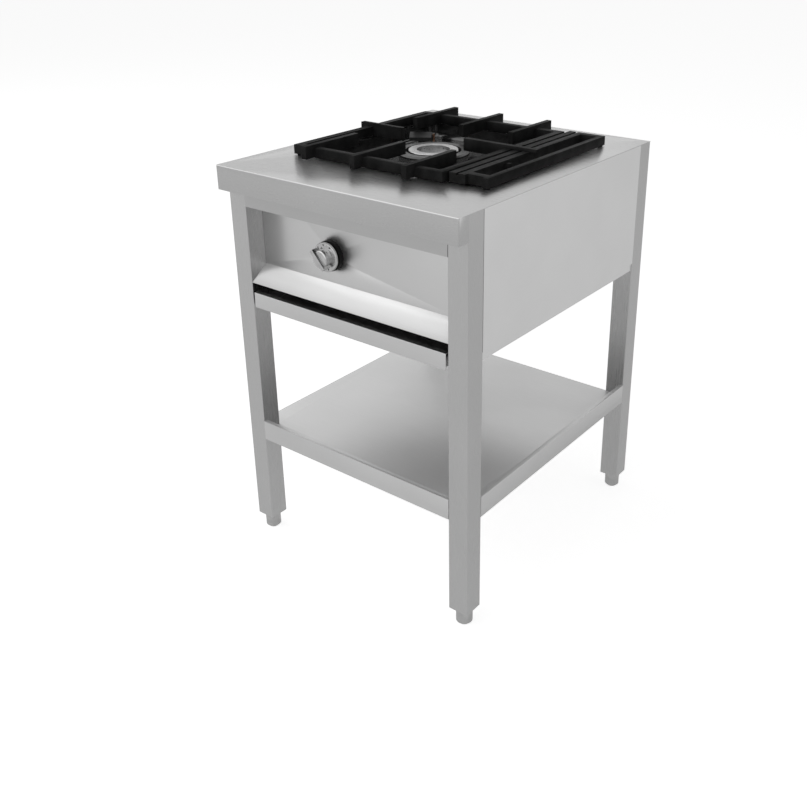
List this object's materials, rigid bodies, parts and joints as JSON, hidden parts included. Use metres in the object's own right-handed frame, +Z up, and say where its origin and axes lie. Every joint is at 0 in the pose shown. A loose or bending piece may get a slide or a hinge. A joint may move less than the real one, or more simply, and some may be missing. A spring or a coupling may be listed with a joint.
{
  "type": "stock pot range",
  "caption": "Free-standing gas stock pot range: open burner under cast pan supports in a stainless deck, control panel, drip tray and undershelf on a square-tube stand.",
  "frame": {"origin": "middle of the base rectangle, on the floor under the feet", "axes": "+X to the right seen from the front, +Y to the back, +Z up"},
  "size_m": [0.6, 0.7, 0.898],
  "materials": {
    "brushed_stainless": "brushed stainless sheet",
    "foot_metal": "turned stainless",
    "zinc_steel": "bright zinc plate",
    "pipe_steel": "drawn steel pipe",
    "black_enamel": "glossy black enamel",
    "black_cast_iron": "satin black enamelled casting",
    "dark_casting": "dark bare casting",
    "burner_casting": "bright nickel plate",
    "dark_steel": "heat-darkened steel",
    "brass": "turned brass",
    "copper_pipe": "drawn copper",
    "black_plastic": "black moulded plastic",
    "knob_metal": "satin chrome",
    "knob_ink": "black paint in the dial's marks"
  },
  "bodies": {
    "stand": {"burner_body": "burner_casting", "burner_cradle": "zinc_steel", "control_panel": "brushed_stainless", "cradle_screws": "zinc_steel", "deck_channel_left": "brushed_stainless", "deck_channel_right": "brushed_stainless", "feed_pipe": "copper_pipe", "front_top_rail": "brushed_stainless", "gas_manifold": "pipe_steel", "gas_tap": "brass", "injector": "brass", "injector_bracket": "zinc_steel", "injector_holder": "brass", "inlet_locknuts": "brass", "knob_bezel": "black_plastic", "leg_front_left": "brushed_stainless", "leg_front_right": "brushed_stainless", "leg_plugs": "black_plastic", "leg_rear_left": "brushed_stainless", "leg_rear_right": "brushed_stainless", "pilot_burner": "dark_steel", "pilot_pipe": "copper_pipe", "pilot_plate": "zinc_steel", "rear_panel": "brushed_stainless", "rear_rail": "brushed_stainless", "shelf_stiffener": "brushed_stainless", "side_panel_left": "brushed_stainless", "side_panel_right": "brushed_stainless", "side_rail_left": "brushed_stainless", "side_rail_right": "brushed_stainless", "spill_bowl": "black_enamel", "tap_nut": "zinc_steel", "thermocouple": "copper_pipe", "tray_runner_left": "brushed_stainless", "tray_runner_right": "brushed_stainless", "tray_runner_screws": "zinc_steel", "undershelf": "brushed_stainless", "worktop": "brushed_stainless"},
    "tap_plug": {"tap_plug": "brass"},
    "knob": {"tap_spindle": "zinc_steel", "knob_dial": "knob_metal", "knob_dots": "knob_ink", "knob_grip": "knob_metal"},
    "main_pan_support": {"main_pan_support": "black_cast_iron"},
    "side_pan_support": {"side_pan_support": "black_cast_iron"},
    "burner_cap": {"burner_cap": "burner_casting"},
    "burner_crown": {"burner_crown": "dark_casting"},
    "drip_tray": {"drip_tray": "brushed_stainless", "drip_tray_front": "brushed_stainless"},
    "foot_front_left": {"foot_front_left": "foot_metal", "foot_stud_front_left": "zinc_steel"},
    "foot_front_right": {"foot_front_right": "foot_metal", "foot_stud_front_right": "zinc_steel"},
    "foot_rear_left": {"foot_rear_left": "foot_metal", "foot_stud_rear_left": "zinc_steel"},
    "foot_rear_right": {"foot_rear_right": "foot_metal", "foot_stud_rear_right": "zinc_steel"}
  },
  "joints": [
    {"name": "knob_turn", "type": "hinge", "parent": "stand", "child": "tap_plug", "pos_m": [-0.063, -0.262, 0.71], "axis": [0, -1, 0], "range_deg": [0, 228]},
    {"name": "knob_push", "type": "slide", "parent": "tap_plug", "child": "knob", "axis": [0, 1, 0], "range_m": [0, 0.0035], "stiffness_N_per_m": 1500},
    {"name": "main_support_lift", "type": "slide", "parent": "stand", "child": "main_pan_support", "axis": [0, 0, 1], "range_m": [0, 0.15]},
    {"name": "side_support_lift", "type": "slide", "parent": "stand", "child": "side_pan_support", "axis": [0, 0, 1], "range_m": [0, 0.15]},
    {"name": "burner_cap_lift", "type": "slide", "parent": "stand", "child": "burner_cap", "axis": [0, 0, 1], "range_m": [0, 0.1]},
    {"name": "burner_crown_lift", "type": "slide", "parent": "stand", "child": "burner_crown", "axis": [0, 0, 1], "range_m": [0, 0.1]},
    {"name": "drip_tray_slide", "type": "slide", "parent": "stand", "child": "drip_tray", "axis": [0, -1, 0], "range_m": [0, 0.45]},
    {"name": "foot_front_left_height", "type": "slide", "parent": "stand", "child": "foot_front_left", "axis": [0, 0, -1], "range_m": [0, 0.02]},
    {"name": "foot_front_right_height", "type": "slide", "parent": "stand", "child": "foot_front_right", "axis": [0, 0, -1], "range_m": [0, 0.02]},
    {"name": "foot_rear_left_height", "type": "slide", "parent": "stand", "child": "foot_rear_left", "axis": [0, 0, -1], "range_m": [0, 0.02]},
    {"name": "foot_rear_right_height", "type": "slide", "parent": "stand", "child": "foot_rear_right", "axis": [0, 0, -1], "range_m": [0, 0.02]}
  ],
  "couplings": [
    {"joint": "side_support_lift", "follows": "main_support_lift", "ratio": 1}
  ]
}
